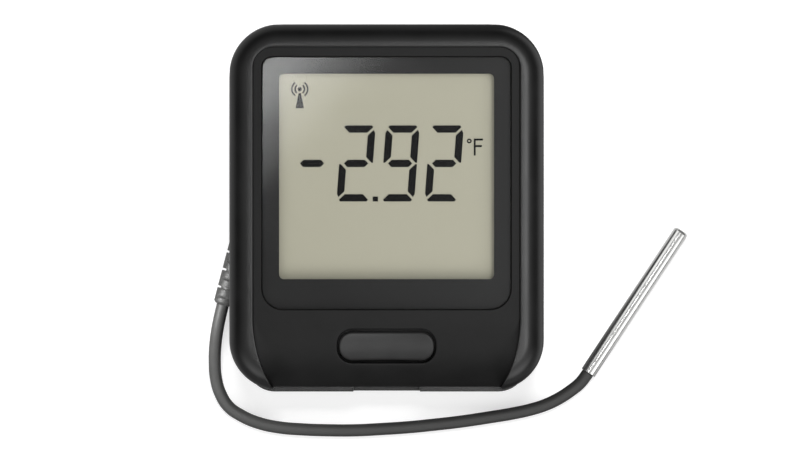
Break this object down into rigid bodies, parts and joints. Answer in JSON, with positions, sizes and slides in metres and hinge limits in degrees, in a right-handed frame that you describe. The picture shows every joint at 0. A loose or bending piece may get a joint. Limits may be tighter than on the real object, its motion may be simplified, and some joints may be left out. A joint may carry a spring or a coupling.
{
  "type": "temperature data logger",
  "caption": "Flat handheld data logger with a large segment display, one wide button on a curved chin, and a steel temperature probe on a short plug-in lead.",
  "frame": {"origin": "under the middle of the case, on the surface that its back lies on", "axes": "+X to the right of the display, +Y towards its top, +Z out of the display"},
  "size_m": [0.1082, 0.0925, 0.023],
  "materials": {
    "case_plastic": "fine satin texture",
    "button_plastic": "satin",
    "window_clear": "polished",
    "mask_ink": "printed behind the window",
    "display_glass": "polished",
    "display_reflector": "pearly grey-green",
    "segment_ink": "dark segments",
    "white_nylon": "natural",
    "soft_foam": "matt",
    "board_laminate": "solder mask",
    "chip_epoxy": "moulded",
    "capacitor_ceramic": "fired ceramic",
    "bright_steel": "bright",
    "probe_steel": "drawn tube, fine lengthwise grain",
    "gold_plate": "plated",
    "battery_pouch": "foil",
    "cord_rubber": "soft matt jacket",
    "potting_resin": "cast",
    "label_film": "blank film"
  },
  "bodies": {
    "case": {"front_shell": "case_plastic", "rear_shell": "case_plastic", "case_screws": "bright_steel", "rating_label": "label_film", "window_lens": "window_clear", "window_mask": "mask_ink", "window_adhesive": "soft_foam", "lcd_polariser": "display_glass", "lcd_front_glass": "display_glass", "lcd_digits": "segment_ink", "lcd_symbols": "segment_ink", "lcd_seal": "white_nylon", "lcd_rear_glass": "display_glass", "lcd_reflector": "display_reflector", "lcd_frame": "white_nylon", "zebra_connector": "soft_foam", "main_board": "board_laminate", "processor_chip": "chip_epoxy", "memory_chip": "chip_epoxy", "quartz_crystal": "bright_steel", "chip_capacitors": "capacitor_ceramic", "power_inductor": "chip_epoxy", "radio_board": "board_laminate", "radio_shield": "bright_steel", "usb_shell": "bright_steel", "usb_tongue": "chip_epoxy", "switch_body": "chip_epoxy", "switch_dome": "bright_steel", "battery_cell": "battery_pouch", "battery_foam": "soft_foam", "battery_leads": "cord_rubber", "battery_plug": "white_nylon", "battery_header": "white_nylon", "jack_body": "chip_epoxy", "jack_bush": "bright_steel", "jack_pins": "bright_steel"},
    "button": {"button_cap": "button_plastic", "switch_plunger": "white_nylon"},
    "probe_lead": {"plug_boot": "cord_rubber", "plug_contacts": "gold_plate", "plug_insulators": "chip_epoxy", "probe_cord": "cord_rubber", "probe_sleeve": "probe_steel", "probe_potting": "potting_resin", "probe_thermistor": "chip_epoxy"}
  },
  "joints": [
    {"name": "button_press", "type": "slide", "parent": "case", "child": "button", "axis": [0, 0, -1], "range_m": [0, 0.0006], "stiffness_N_per_m": 3000, "deforming": ["switch_dome"]},
    {"name": "probe_pull", "type": "slide", "parent": "case", "child": "probe_lead", "axis": [-0.2924, -0.9563, 0], "range_m": [0, 0.016]}
  ]
}
